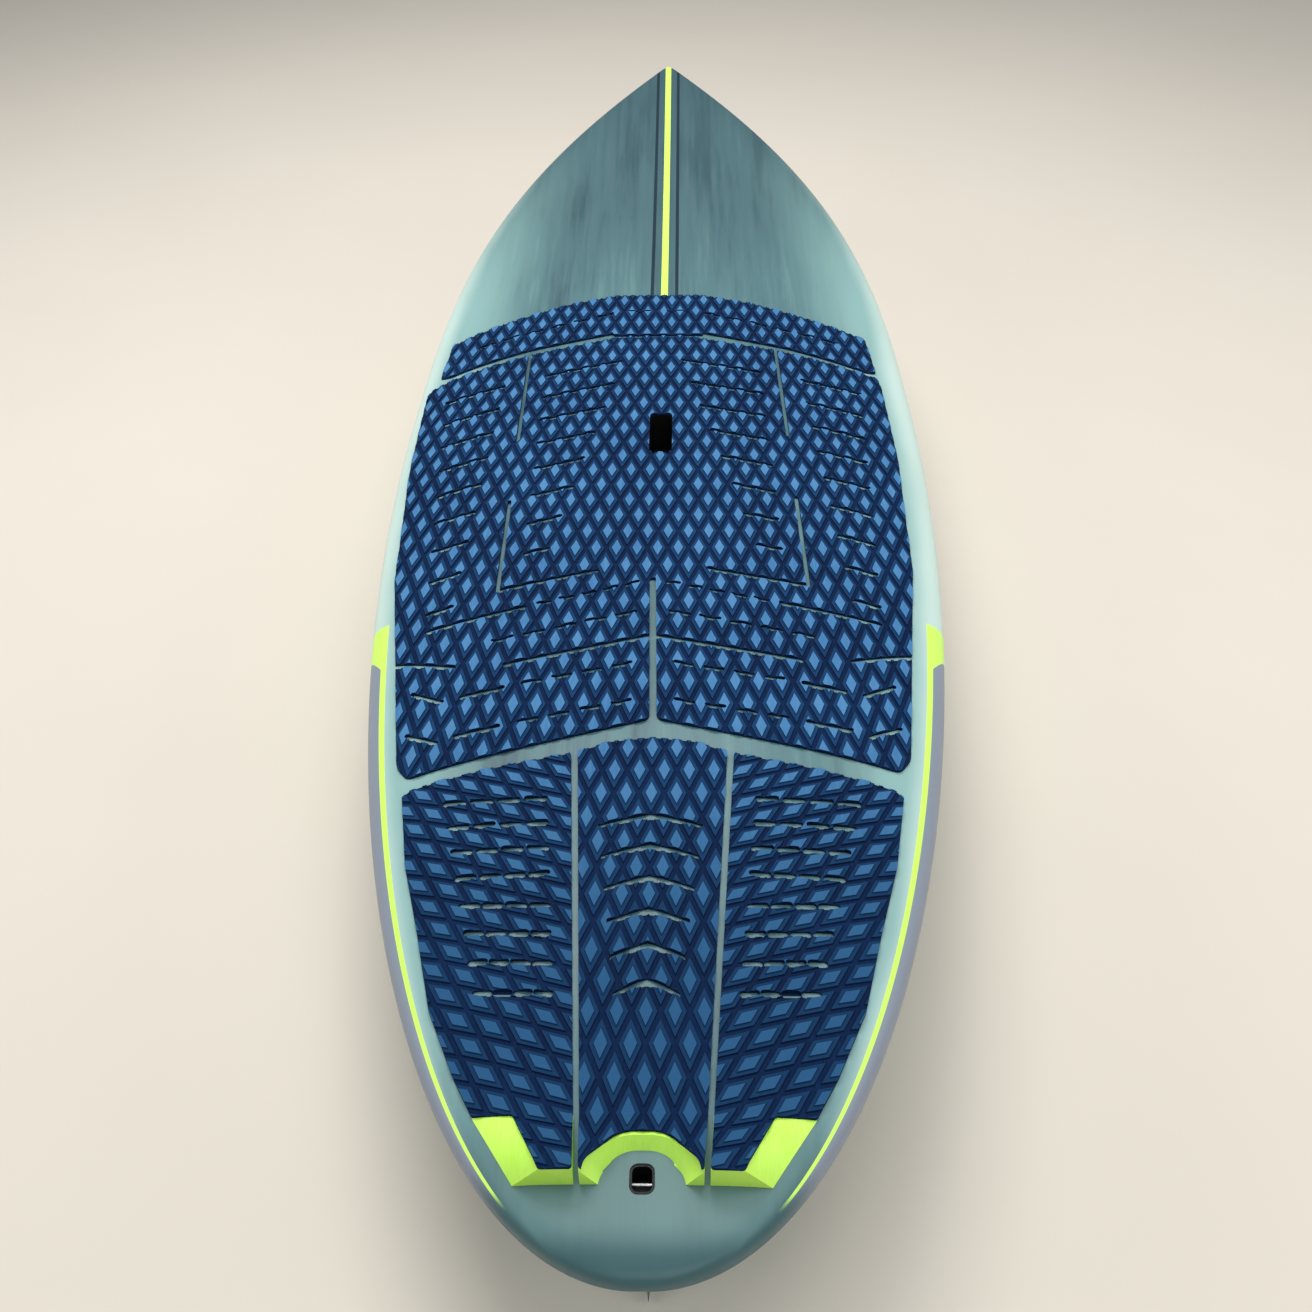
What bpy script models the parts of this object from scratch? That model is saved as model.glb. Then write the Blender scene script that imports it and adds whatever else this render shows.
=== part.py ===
"""Stand-up paddle surf board: sandwich hull, EVA deck pads, handle, vent, leash plug and fins.

Frame: metres, +Z up through the deck, +Y towards the nose, +X to the rider's right.
Origin: on the flat of the hull's bottom, half way along the board, on its centreline.
"""
import math

import bmesh
import bpy
from mathutils import Matrix, Vector

# ---------------------------------------------------------------- driving dimensions (metres)
LENGTH = 2.44
HALF = LENGTH / 2
HALF_WIDTH = 0.379
WIDEST_Y = 0.05
THICKNESS = 0.115
NOSE_RISE = 0.220
TAIL_RISE = 0.050
ROCKER_FRONT_Y = 0.05
ROCKER_BACK_Y = -0.15
APEX_SHARE = 0.40            # height of the rail's widest line, as a share of the thickness
DECK_POWER = 3.5             # squareness of the deck's cross-section
FLAT_SHARE = 0.55            # part of the half width over which the bottom is flat
BOTTOM_POWER = 2.5
TAIL_ROUND = 0.050           # length over which the tail's edge rounds off
NOSE_ROUND = 0.030

GAP = 0.0003                 # clearance between pieces that touch
SKIN = 0.0025                # sandwich skin
CORE_INSET = 0.0029
STRINGER_IN = 0.0190         # twin stringers straddling the deck fittings
STRINGER_OUT = 0.0220
STRINGER_ENDS = (-1.170, 1.175)
PAD = 0.0050                 # EVA pad

HANDLE_Y = -0.045            # carry handle, a slot in the deck
HANDLE_SIZE = (0.032, 0.105)
HANDLE_DEPTH = 0.058
HANDLE_WALL = 0.0025
VENT_Y = -0.080
PLUG_Y = -1.142              # leash plug
PLUG_SIZE = (0.0165, 0.0215)
PLUG_DEPTH = 0.022
PLUG_WALL = 0.0020

KICK_FRONT = -1.088
KICK_CREST = -1.140
KICK_BACK = -1.147
KICK_HEIGHT = 0.025
MAIN_PAD_TURN = math.radians(1.1)    # the main pad is stuck on slightly askew
MAIN_PAD_PIVOT = -0.65
FRONT_PAD_SHIFT = -0.0085

BOX_CENTRE = {"y": -0.945, "length": 0.254, "width": 0.024, "depth": 0.028}
BOX_SIDE = {"x": 0.185, "y": -0.870, "length": 0.116, "width": 0.014, "depth": 0.020}
TOE_IN = math.radians(3.0)

STATIONS = [
    -HALF, -1.2165, -1.205, -1.185, -1.165, KICK_CREST, KICK_FRONT, -1.03, -0.96, -0.88, -0.79,
    -0.69, -0.58, -0.46, -0.32, ROCKER_BACK_Y, ROCKER_FRONT_Y, 0.18, 0.31, 0.44, 0.57, 0.69,
    0.80, 0.90, 0.99, 1.07, 1.13, 1.175, 1.205, HALF,
]
DECK_COLUMNS = [0.0, 0.35, 0.58, 0.73, 0.84, 0.91, 0.955, 0.985, 1.0]
BOTTOM_COLUMNS = [0.0, FLAT_SHARE, 0.74, 0.88, 0.96, 1.0]

COLOURS = {
    "eps_foam": ((0.90, 0.90, 0.88), 0.90, 0.0),
    "stringer_wood": ((0.62, 0.45, 0.27), 0.60, 0.0),
    "deck_paint": ((0.16, 0.29, 0.31), 0.30, 0.0),
    "hull_paint": ((0.62, 0.72, 0.68), 0.30, 0.0),
    "handle_plastic": ((0.02, 0.02, 0.02), 0.50, 0.0),
    "vent_plastic": ((0.03, 0.03, 0.035), 0.40, 0.0),
    "o_ring_rubber": ((0.02, 0.02, 0.02), 0.70, 0.0),
    "plug_plastic": ((0.015, 0.015, 0.015), 0.45, 0.0),
    "stainless": ((0.70, 0.70, 0.70), 0.25, 1.0),
    "eva_blue": ((0.05, 0.13, 0.29), 0.85, 0.0),
    "eva_lime": ((0.45, 0.85, 0.12), 0.80, 0.0),
    "fin_box_plastic": ((0.06, 0.06, 0.07), 0.55, 0.0),
    "fin_composite": ((0.05, 0.22, 0.26), 0.35, 0.0),
    "brass": ((0.72, 0.55, 0.25), 0.35, 1.0),
}


# ---------------------------------------------------------------- scene and materials
def clear_scene():
    for obj in list(bpy.data.objects):
        bpy.data.objects.remove(obj, do_unlink=True)


def make_collection(name):
    coll = bpy.data.collections.new(name)
    bpy.context.scene.collection.children.link(coll)
    return coll


def make_materials():
    made = {}
    for name, (rgb, rough, metal) in COLOURS.items():
        mat = bpy.data.materials.new(name)
        mat.use_nodes = True
        shader = mat.node_tree.nodes["Principled BSDF"]
        shader.inputs["Base Color"].default_value = (*rgb, 1.0)
        shader.inputs["Roughness"].default_value = rough
        shader.inputs["Metallic"].default_value = metal
        made[name] = mat
    return made


def add_object(name, bm, material, coll=None):
    """Close a bmesh into a named object with outward normals and one material."""
    bmesh.ops.recalc_face_normals(bm, faces=bm.faces)
    mesh = bpy.data.meshes.new(name)
    bm.to_mesh(mesh)
    bm.free()
    obj = bpy.data.objects.new(name, mesh)
    (coll or BOARD).objects.link(obj)
    if material:
        mesh.materials.append(MATERIALS[material])
        mesh.shade_smooth()
        mesh.set_sharp_from_angle(angle=math.radians(32))
    return obj


def boolean(obj, cutter, operation="DIFFERENCE"):
    """Cut an object with a helper, bake the result and drop the helper."""
    mod = obj.modifiers.new("cut", "BOOLEAN")
    mod.operation = operation
    mod.object = cutter
    mod.solver = "EXACT"
    bpy.context.view_layer.update()
    depsgraph = bpy.context.evaluated_depsgraph_get()
    mesh = bpy.data.meshes.new_from_object(obj.evaluated_get(depsgraph))
    obj.modifiers.clear()
    old = obj.data
    obj.data = mesh
    bpy.data.meshes.remove(old)
    mesh.name = obj.name
    bpy.data.objects.remove(cutter, do_unlink=True)
    return obj


# ---------------------------------------------------------------- hull form
def rocker(y):
    """Height of the bottom's centreline."""
    front = max(y - ROCKER_FRONT_Y, 0.0) / (HALF - ROCKER_FRONT_Y)
    back = max(ROCKER_BACK_Y - y, 0.0) / (HALF + ROCKER_BACK_Y)
    return NOSE_RISE * front ** 2.3 + TAIL_RISE * back ** 2


def thickness(y):
    if y > 0:
        return THICKNESS * (1 - 0.87 * (y / HALF) ** 2.6)
    return THICKNESS * (1 - 0.70 * (-y / HALF) ** 2.4)


def half_width(y):
    if y > WIDEST_Y:
        s = min((y - WIDEST_Y) / (HALF - WIDEST_Y), 1.0)
        return HALF_WIDTH * (1 - s ** 2.88)
    s = min((WIDEST_Y - y) / (HALF + WIDEST_Y), 1.0)
    return HALF_WIDTH * max(1 - s * s, 0.0) ** 0.48


def edge_round(y):
    """1 along the board, falling to 0 where the nose and tail round off."""
    tail = min(max((TAIL_ROUND - HALF - y) / TAIL_ROUND, 0.0), 1.0)
    nose = min(max((y - HALF + NOSE_ROUND) / NOSE_ROUND, 0.0), 1.0)
    return (1 - tail ** 2.5) ** 0.4 * (1 - nose ** 2.5) ** 0.4


def apex(y):
    """Height of the rail's widest line."""
    return rocker(y) + APEX_SHARE * thickness(y)


def deck_z(y, xi, inset=0.0):
    rise = ((1 - APEX_SHARE) * thickness(y) - inset) * edge_round(y)
    return apex(y) + rise * max(1 - abs(xi) ** DECK_POWER, 0.0) ** (1 / DECK_POWER)


def bottom_z(y, xi, inset=0.0):
    drop = (APEX_SHARE * thickness(y) - inset) * edge_round(y)
    s = max(abs(xi) - FLAT_SHARE, 0.0) / (1 - FLAT_SHARE)
    return apex(y) - drop * max(1 - s ** BOTTOM_POWER, 0.0) ** (1 / BOTTOM_POWER)


def mirrored(columns):
    return [-c for c in reversed(columns[1:])] + columns


def hull_side_z(y, xi, inset=0.0):
    """Bottom skin's surface, whose rim stays a gap below the deck skin's."""
    return min(bottom_z(y, xi, inset), apex(y) - GAP)


def shell_grid(bm, height, columns, inset):
    """One side of the hull as a grid that closes to a point at the nose and tail.

    Returns the rim's vertices in order and leaves the grid's faces in the bmesh.
    """
    kx = (HALF_WIDTH - inset) / HALF_WIDTH
    ky = (HALF - inset) / HALF
    xis = mirrored(columns)
    rows = []
    for y in STATIONS:
        w = half_width(y)
        if w < 1e-6:
            rows.append([bm.verts.new((0, y * ky, height(y, 0, inset)))])
            continue
        rows.append([bm.verts.new((xi * w * kx, y * ky, height(y, xi, inset))) for xi in xis])
    for low, high in zip(rows, rows[1:]):
        for j in range(len(xis) - 1):
            a, b = low[min(j, len(low) - 1)], low[min(j + 1, len(low) - 1)]
            d, c = high[min(j, len(high) - 1)], high[min(j + 1, len(high) - 1)]
            corners = []
            for v in (a, b, c, d):
                if v not in corners:
                    corners.append(v)
            bm.faces.new(corners)
    left = [row[0] for row in rows[1:-1]]
    right = [row[-1] for row in rows[1:-1]]
    return rows[0] + left + rows[-1] + right[::-1]


def skin(name, height, columns, material):
    """Sandwich skin: an outer and an inner grid joined by a flat rim at the rail's widest line."""
    bm = bmesh.new()
    outer = shell_grid(bm, height, columns, 0.0)
    inner = shell_grid(bm, height, columns, SKIN)
    count = len(outer)
    for i in range(count):
        j = (i + 1) % count
        bm.faces.new((outer[i], outer[j], inner[j], inner[i]))
    return add_object(name, bm, material)


def core_half(name, side):
    """Foam blank outside one stringer, lofted from section to section."""
    kx = (HALF_WIDTH - CORE_INSET) / HALF_WIDTH
    ky = (HALF - CORE_INSET) / HALF
    loops = []
    bm = bmesh.new()
    for y in STATIONS:
        w = half_width(y)
        if w < 0.02:
            continue
        top = [(xi * w * kx, deck_z(y, xi, CORE_INSET)) for xi in DECK_COLUMNS]
        low = [(xi * w * kx, bottom_z(y, xi, CORE_INSET)) for xi in BOTTOM_COLUMNS[:-1]]
        loop = top + low[::-1]
        loops.append([bm.verts.new((side * x, y * ky, z)) for x, z in loop])
    close_loft(bm, loops)
    core = add_object(name, bm, "eps_foam")
    boolean(core, block("between_stringers", (2 * STRINGER_OUT + 2 * GAP, 3.0, 1.0), (0, 0, 0.1)))
    return core


def close_loft(bm, loops):
    for a, b in zip(loops, loops[1:]):
        n = len(a)
        for i in range(n):
            j = (i + 1) % n
            bm.faces.new((a[i], a[j], b[j], b[i]))
    bm.faces.new(loops[0][::-1])
    bm.faces.new(loops[-1])


def lengthwise(name, x_low, x_high, y_low, y_high, material):
    """Straight length of the blank between two plan lines, following the rocker."""
    ky = (HALF - CORE_INSET) / HALF
    reach = max(abs(x_low), abs(x_high))
    spots = [y_low / ky] + [y for y in STATIONS if y_low < y * ky < y_high] + [y_high / ky]
    loops = []
    bm = bmesh.new()
    for y in spots:
        xi = reach / half_width(y)
        top = deck_z(y, xi, CORE_INSET)
        low = bottom_z(y, xi, CORE_INSET)
        corners = [(x_high, low), (x_high, top), (x_low, top), (x_low, low)]
        loops.append([bm.verts.new((x, y * ky, z)) for x, z in corners])
    close_loft(bm, loops)
    return add_object(name, bm, material)


def stringers():
    right = lengthwise("stringer_right", STRINGER_IN, STRINGER_OUT, *STRINGER_ENDS, "stringer_wood")
    left = lengthwise("stringer_left", -STRINGER_OUT, -STRINGER_IN, *STRINGER_ENDS, "stringer_wood")
    return [right, left]


def infills():
    """Foam between the stringers: long lengths, and a bed round each deck fitting."""
    half = STRINGER_IN - GAP
    handle_half = HANDLE_SIZE[1] / 2 + HANDLE_WALL + GAP
    plug_half = PLUG_SIZE[1] / 2 + PLUG_WALL + GAP
    cuts = [HANDLE_Y + handle_half, HANDLE_Y - handle_half, PLUG_Y + plug_half]
    spans = {
        "infill_nose": (cuts[0], STRINGER_ENDS[1]),
        "handle_bed": (cuts[1], cuts[0]),
        "infill_mid": (cuts[2], cuts[1]),
        "plug_bed": (STRINGER_ENDS[0], cuts[2]),
    }
    return {name: lengthwise(name, -half, half, low + GAP / 2, high - GAP / 2, "eps_foam")
            for name, (low, high) in spans.items()}


# ---------------------------------------------------------------- helper solids
def rounded_rect(cx, cy, width, height, radius, steps=3):
    points = []
    for qx, qy, start in ((1, 1, 0), (-1, 1, 90), (-1, -1, 180), (1, -1, 270)):
        ox = cx + qx * (width / 2 - radius)
        oy = cy + qy * (height / 2 - radius)
        for k in range(steps + 1):
            a = math.radians(start + 90 * k / steps)
            points.append((ox + radius * math.cos(a), oy + radius * math.sin(a)))
    return points


def prism(name, outline, low, high, material=None, coll=None):
    """Vertical prism over a flat outline."""
    bm = bmesh.new()
    bottom = [bm.verts.new((x, y, low)) for x, y in outline]
    top = [bm.verts.new((x, y, high)) for x, y in outline]
    n = len(outline)
    bm.faces.new(bottom[::-1])
    bm.faces.new(top)
    for i in range(n):
        j = (i + 1) % n
        bm.faces.new((bottom[i], bottom[j], top[j], top[i]))
    return add_object(name, bm, material, coll or (None if material else CUTTERS))


def block(name, size, centre, material=None, matrix=None):
    bm = bmesh.new()
    bmesh.ops.create_cube(bm, size=1.0)
    bmesh.ops.scale(bm, vec=size, verts=bm.verts)
    bmesh.ops.translate(bm, vec=centre, verts=bm.verts)
    if matrix:
        bmesh.ops.transform(bm, matrix=matrix, verts=bm.verts)
    return add_object(name, bm, material, None if material else CUTTERS)


def rod(name, radius, length, centre, axis="Z", sides=16, material=None, matrix=None):
    bm = bmesh.new()
    bmesh.ops.create_cone(
        bm, cap_ends=True, segments=sides, radius1=radius, radius2=radius, depth=length)
    turn = {"Z": Matrix(), "X": Matrix.Rotation(math.pi / 2, 4, "Y"),
            "Y": Matrix.Rotation(math.pi / 2, 4, "X")}[axis]
    bmesh.ops.transform(bm, matrix=Matrix.Translation(centre) @ turn, verts=bm.verts)
    if matrix:
        bmesh.ops.transform(bm, matrix=matrix, verts=bm.verts)
    return add_object(name, bm, material, None if material else CUTTERS)


def turned(name, profile, centre, material, sides=20, matrix=None):
    """Ring turned about Z from a closed profile of (radius, z) points, none on the axis."""
    bm = bmesh.new()
    rings = []
    for k in range(sides):
        a = 2 * math.pi * k / sides
        rings.append([bm.verts.new((r * math.cos(a), r * math.sin(a), z)) for r, z in profile])
    n = len(profile)
    for k in range(sides):
        here, there = rings[k], rings[(k + 1) % sides]
        for i in range(n):
            j = (i + 1) % n
            bm.faces.new((here[i], here[j], there[j], there[i]))
    bmesh.ops.translate(bm, vec=centre, verts=bm.verts)
    if matrix:
        bmesh.ops.transform(bm, matrix=matrix, verts=bm.verts)
    return add_object(name, bm, material)


# ---------------------------------------------------------------- deck pads and kick
def kick_rise(y):
    """Height of the lime kick wedge above the deck."""
    s = (KICK_FRONT - y) / (KICK_FRONT - KICK_CREST)
    return KICK_HEIGHT * min(max(s, 0.0), 1.0)


def deck_layer(name, outline, low, high, material):
    """Solid between two heights over the deck's own facets, trimmed to an outline."""
    y_low = min(p[1] for p in outline)
    y_high = max(p[1] for p in outline)
    first = max(i for i, y in enumerate(STATIONS) if y < y_low)
    last = min(i for i, y in enumerate(STATIONS) if y > y_high)
    xis = mirrored(DECK_COLUMNS[:-1])
    loops = []
    bm = bmesh.new()
    for y in STATIONS[first:last + 1]:
        w = half_width(y)
        under = [bm.verts.new((xi * w, y, deck_z(y, xi) + low(y))) for xi in xis]
        over = [bm.verts.new((xi * w, y, deck_z(y, xi) + high(y))) for xi in xis]
        loops.append((under, over))
    n = len(xis)
    for (ua, oa), (ub, ob) in zip(loops, loops[1:]):
        for j in range(n - 1):
            bm.faces.new((ua[j], ub[j], ub[j + 1], ua[j + 1]))
            bm.faces.new((oa[j], oa[j + 1], ob[j + 1], ob[j]))
        bm.faces.new((ua[0], oa[0], ob[0], ub[0]))
        bm.faces.new((ua[-1], ub[-1], ob[-1], oa[-1]))
    for under, over in (loops[0], loops[-1]):
        for j in range(n - 1):
            bm.faces.new((under[j], under[j + 1], over[j + 1], over[j]))
    obj = add_object(name, bm, material)
    return boolean(obj, prism("outline", outline, -0.1, 0.4), "INTERSECT")


def turn_pad(points):
    """Set the main pad's outline slightly askew about its rear centre."""
    c, s = math.cos(MAIN_PAD_TURN), math.sin(MAIN_PAD_TURN)
    turned_points = []
    for x, y in points:
        dy = y - MAIN_PAD_PIVOT
        turned_points.append((x * c - dy * s, MAIN_PAD_PIVOT + x * s + dy * c))
    return turned_points


def both_sides(half):
    """Outline from its right half, listed from the front centre to the rear centre."""
    return half + [(-x, y) for x, y in reversed(half)]


def front_pad():
    half = [(0.070, 0.375), (0.150, 0.348), (0.240, 0.301), (0.330, 0.250), (0.337, 0.150),
            (0.320, 0.147), (0.205, 0.203), (0.0715, 0.252), (0.0715, 0.246)]
    outline = [(x + FRONT_PAD_SHIFT, y) for x, y in both_sides(half)]
    return deck_layer("front_pad", outline, lambda y: GAP, lambda y: PAD, "eva_blue")


def main_pad():
    half = [(0.055, 0.240), (0.200, 0.190), (0.344, 0.125), (0.3465, 0.100), (0.344, -0.100),
            (0.3335, -0.250), (0.3275, -0.350), (0.304, -0.500), (0.2765, -0.680),
            (0.262, -0.700), (0.004, -0.626), (0.004, -0.380)]
    outline = turn_pad(both_sides(half))
    pad = deck_layer("main_pad", outline, lambda y: GAP, lambda y: PAD, "eva_blue")
    width, height = HANDLE_SIZE
    hole = rounded_rect(0, HANDLE_Y, width + 0.006, height + 0.006, 0.012)
    return boolean(pad, prism("handle_hole", hole, 0.0, 0.2))


SIDE_INNER = ((0.087, -0.678), (0.0555, KICK_BACK))


def side_inner_x(y):
    (xa, ya), (xb, yb) = SIDE_INNER
    return xa + (xb - xa) * (y - ya) / (yb - ya)


def tail_pad_side(name, side):
    outline = [(0.087, -0.678), (0.170, -0.698), (0.255, -0.722), (0.2625, -0.730), (0.245, -0.820),
               (0.221, -0.900), (0.1975, -0.985), (0.1675, -1.050), (0.146, KICK_FRONT),
               (0.111, KICK_FRONT), (0.083, KICK_BACK), (0.0555, KICK_BACK)]
    outline = [(side * x, y) for x, y in outline]
    return deck_layer(name, outline, lambda y: kick_rise(y) + 2 * GAP,
                      lambda y: kick_rise(y) + PAD, "eva_blue")


def kick_side(name, side):
    """Lime wedge: a ramp with a square back, its outer end cut to a slanting facet."""
    front = KICK_FRONT - 0.003
    outline = [(side_inner_x(front), front), (0.142, front), (0.106, KICK_BACK),
               (side_inner_x(KICK_BACK), KICK_BACK)]
    outline = [(side * x, y) for x, y in outline]
    wedge = deck_layer(name, outline, lambda y: GAP, lambda y: GAP + kick_rise(y), "eva_lime")
    deck_front = deck_z(front, 0.142 / half_width(front)) + 0.001
    deck_back = deck_z(KICK_BACK, 0.106 / half_width(KICK_BACK)) + 0.001
    top_back = deck_z(KICK_BACK, 0.083 / half_width(KICK_BACK)) + KICK_HEIGHT
    a = Vector((side * 0.142, front, deck_front))
    b = Vector((side * 0.106, KICK_BACK, deck_back))
    c = Vector((side * 0.085, KICK_BACK, top_back))
    normal = (b - a).cross(c - a).normalized()
    if normal.z < 0:
        normal = -normal
    side_axis = (b - a).normalized()
    across = normal.cross(side_axis)
    frame = Matrix((side_axis, across, normal)).transposed().to_4x4()
    frame.translation = a
    return boolean(wedge, block("facet", (0.4, 0.4, 0.1), (0, 0, 0.05), matrix=frame))


def plug_notch(reach, back):
    """Arch cut into the rear of the centre kick, round the leash plug."""
    points = [(reach, back)]
    for k in range(7):
        a = math.pi * k / 6
        points.append((0.82 * reach * math.cos(a), -1.133 + 0.026 * math.sin(a)))
    points.append((-reach, back))
    return points


def tail_pad_centre():
    half = [(0.0, -0.655), (0.045, -0.661), (0.080, -0.676), (0.0505, KICK_BACK)]
    outline = half + [(-x, y) for x, y in reversed(half[1:])]
    pad = deck_layer("tail_pad_centre", outline, lambda y: kick_rise(y) + 2 * GAP,
                     lambda y: kick_rise(y) + PAD, "eva_blue")
    return boolean(pad, prism("notch", plug_notch(0.036, -1.2), 0.0, 0.2))


def kick_centre():
    front = KICK_FRONT - 0.003
    outline = [(0.053, front), (0.0505, KICK_BACK), (-0.0505, KICK_BACK), (-0.053, front)]
    wedge = deck_layer("kick_centre", outline, lambda y: GAP, lambda y: GAP + kick_rise(y), "eva_lime")
    return boolean(wedge, prism("notch", plug_notch(0.036, -1.2), 0.0, 0.2))


# ---------------------------------------------------------------- handle, vent, leash plug
def handle():
    """Moulded handle well, open to the deck, with a hole for the vent in its floor."""
    width, height = HANDLE_SIZE
    top = deck_z(HANDLE_Y, 0) - 0.0004
    floor = top - HANDLE_DEPTH
    body = rounded_rect(0, HANDLE_Y, width + 2 * HANDLE_WALL, height + 2 * HANDLE_WALL, 0.012)
    cup = prism("handle_cup", body, floor - HANDLE_WALL, top, "handle_plastic")
    well = rounded_rect(0, HANDLE_Y, width, height, 0.010)
    boolean(cup, prism("well", well, floor, top + 0.02))
    boolean(cup, rod("vent_hole", 0.0083, 0.02, (0, VENT_Y, floor)))
    clear = rounded_rect(0, HANDLE_Y, width + 2 * HANDLE_WALL + 2 * GAP,
                         height + 2 * HANDLE_WALL + 2 * GAP, 0.0123)
    return clear, floor


def vent(floor):
    """Screw vent in the handle's floor: threaded seat, O-ring and slotted plug."""
    seat = [(0.0060, 0.0024), (0.0060, -0.0220), (0.0080, -0.0220), (0.0080, GAP),
            (0.0110, GAP), (0.0110, 0.0024)]
    turned("vent_body", seat, (0, VENT_Y, floor), "vent_plastic")
    ring = []
    for k in range(8):
        a = 2 * math.pi * k / 8
        ring.append((0.0072 + 0.0009 * math.cos(a), 0.0037 + 0.0009 * math.sin(a)))
    turned("vent_o_ring", ring, (0, VENT_Y, floor), "o_ring_rubber")
    plug = rod("vent_plug", 0.0092, 0.0030, (0, VENT_Y, floor + 0.0064), material="vent_plastic", sides=20)
    boolean(plug, rod("shank", 0.0056, 0.0220, (0, VENT_Y, floor - 0.0050), sides=20), "UNION")
    boolean(plug, block("coin_slot", (0.014, 0.0022, 0.003), (0, VENT_Y, floor + 0.0079)))


def leash_plug():
    """Cup let into the deck with a cross bar for the leash string."""
    width, height = PLUG_SIZE
    top = deck_z(PLUG_Y, 0) - 0.0006
    floor = top - PLUG_DEPTH
    body = rounded_rect(0, PLUG_Y, width + 2 * PLUG_WALL, height + 2 * PLUG_WALL, 0.0070)
    cup = prism("leash_cup", body, floor - 0.003, top, "plug_plastic")
    well = rounded_rect(0, PLUG_Y, width, height, 0.005)
    boolean(cup, prism("well", well, floor, top + 0.02))
    bar_at = (0, PLUG_Y - 0.002, top - 0.006)
    boolean(cup, rod("bar_hole", 0.0018, width + 0.005, bar_at, "X", 12))
    rod("leash_bar", 0.0015, width + 0.0034, bar_at, "X", 12, "stainless")
    return rounded_rect(0, PLUG_Y, width + 2 * PLUG_WALL + 2 * GAP, height + 2 * PLUG_WALL + 2 * GAP, 0.0073)


# ---------------------------------------------------------------- fins and their boxes
def hull_frame(x, y, half_length, toe=0.0):
    """Local frame on the hull's bottom: origin flush at the box's ends, +Z into the board."""
    slope = (rocker(y + 0.001) - rocker(y - 0.001)) / 0.002
    ends = (rocker(y + half_length) + rocker(y - half_length)) / 2
    xi = abs(x) / half_width(y)
    lift = bottom_z(y, xi) - rocker(y)
    place = Matrix.Translation((x, y, ends + lift + 0.0002))
    return place @ Matrix.Rotation(math.atan(slope), 4, "X") @ Matrix.Rotation(toe, 4, "Z")


def blade(chord, depth, rake, thick, sections=7):
    """Foiled fin blade hanging from z = 0, its leading edge towards +Y."""
    bm = bmesh.new()
    loops = []
    for k in range(sections + 1):
        s = k / sections * 0.97
        local = chord * (1 - s ** 2.4) ** 0.6
        tail = -rake * s ** 1.5 - chord / 2
        half = thick / 2 * (1 - 0.6 * s)
        loop = []
        for along, bulge in ((0, 0.12), (0.3, 0.75), (0.65, 1.0), (0.88, 0.75), (1.0, 0.15)):
            loop.append((half * bulge, tail + along * local))
        loop += [(-x, y) for x, y in reversed(loop)]
        loops.append([bm.verts.new((x, y, -depth * s)) for x, y in loop])
    close_loft(bm, loops)
    return bm


def fin(name, frame, chord, depth, rake, thick, tab):
    """Blade with the tab that sits in the box: (width, length, height, centre y)."""
    obj = add_object(name, blade(chord, depth, rake, thick), "fin_composite")
    width, length, height, centre = tab
    boolean(obj, block("tab", (width, length, height + 0.001), (0, centre, (height - 0.001) / 2)), "UNION")
    obj.data.transform(frame)
    obj.data.shade_smooth()
    obj.data.set_sharp_from_angle(angle=math.radians(32))
    return obj


def centre_fin_set():
    """Long slotted box; fin held by a cross pin behind and a screw and plate in front."""
    size = BOX_CENTRE
    frame = hull_frame(0, size["y"], size["length"] / 2)
    box = block("fin_box_centre", (size["width"], size["length"], size["depth"]),
                (0, 0, size["depth"] / 2), "fin_box_plastic", frame)
    slot_length = size["length"] - 0.016
    boolean(box, block("slot", (0.0100, slot_length, 0.048), (0, 0, -0.001), matrix=frame))
    boolean(box, block("track", (0.0165, slot_length - 0.004, 0.0052), (0, 0, 0.0135), matrix=frame))
    boolean(box, block("drop_in", (0.0172, 0.0140, 0.0200), (0, 0.100, 0.0035), matrix=frame))
    obj = fin("fin_centre", frame, 0.150, 0.200, 0.110, 0.0095, (0.0093, 0.118, 0.0200, -0.014))
    boolean(obj, rod("pin_hole", 0.0023, 0.03, (0, -0.062, 0.0135), "X", 12, matrix=frame))
    ear = block("ear", (0.0093, 0.020, 0.0035), (0, 0.0540, 0.00775), matrix=frame)
    boolean(obj, ear, "UNION")
    boolean(obj, rod("screw_hole", 0.0023, 0.02, (0, 0.0570, 0.0080), sides=12, matrix=frame))
    rod("fin_pin", 0.0020, 0.0158, (0, -0.062, 0.0135), "X", 12, "brass", frame)
    plate = block("fin_plate", (0.0158, 0.0120, 0.0034), (0, 0.0570, 0.0130), "stainless", frame)
    boolean(plate, rod("plate_hole", 0.0022, 0.02, (0, 0.0570, 0.0130), sides=12, matrix=frame))
    screw = rod("fin_screw", 0.0019, 0.0160, (0, 0.0570, 0.0130), "Z", 12, "stainless", frame)
    boolean(screw, rod("head", 0.0038, 0.0024, (0, 0.0570, 0.0044), sides=12, matrix=frame), "UNION")
    return frame


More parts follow.
